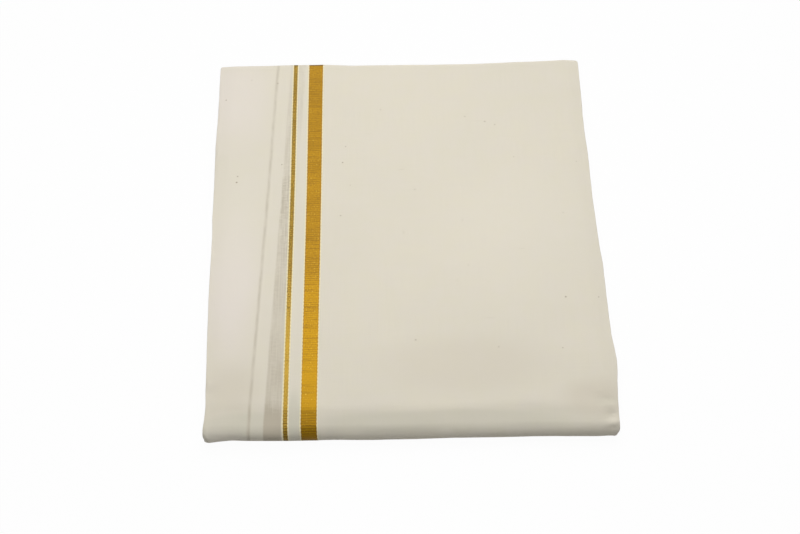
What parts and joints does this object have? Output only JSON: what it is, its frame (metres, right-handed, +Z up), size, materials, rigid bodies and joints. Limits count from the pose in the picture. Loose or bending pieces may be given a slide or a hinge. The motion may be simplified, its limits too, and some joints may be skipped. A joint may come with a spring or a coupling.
{
  "type": "folded lungi",
  "caption": "Long plain cotton wrap cloth folded into a flat packet, with a gold zari border running down its face and round its near fold.",
  "frame": {"origin": "middle of the packet's flat underside", "axes": "+Z up through the packet, its thinnest way; +Y towards the far end, along the border, its longest way; -Y is the near roll; the border lies on the -X side"},
  "size_m": [0.3184, 0.3441, 0.0195],
  "materials": {
    "bordered_cotton": "fine plain weave, matt, unbleached cream, with a wide and a narrow woven gold zari stripe edged in pale yellow",
    "cotton": "fine plain weave, matt, unbleached cream with a few brown seed flecks",
    "folded_cotton": "the same cotton seen at its folded edges, matt, unbleached cream"
  },
  "bodies": {
    "root": {"border_flap": "bordered_cotton", "plain_flap": "cotton", "folded_layers": "folded_cotton"}
  },
  "joints": []
}
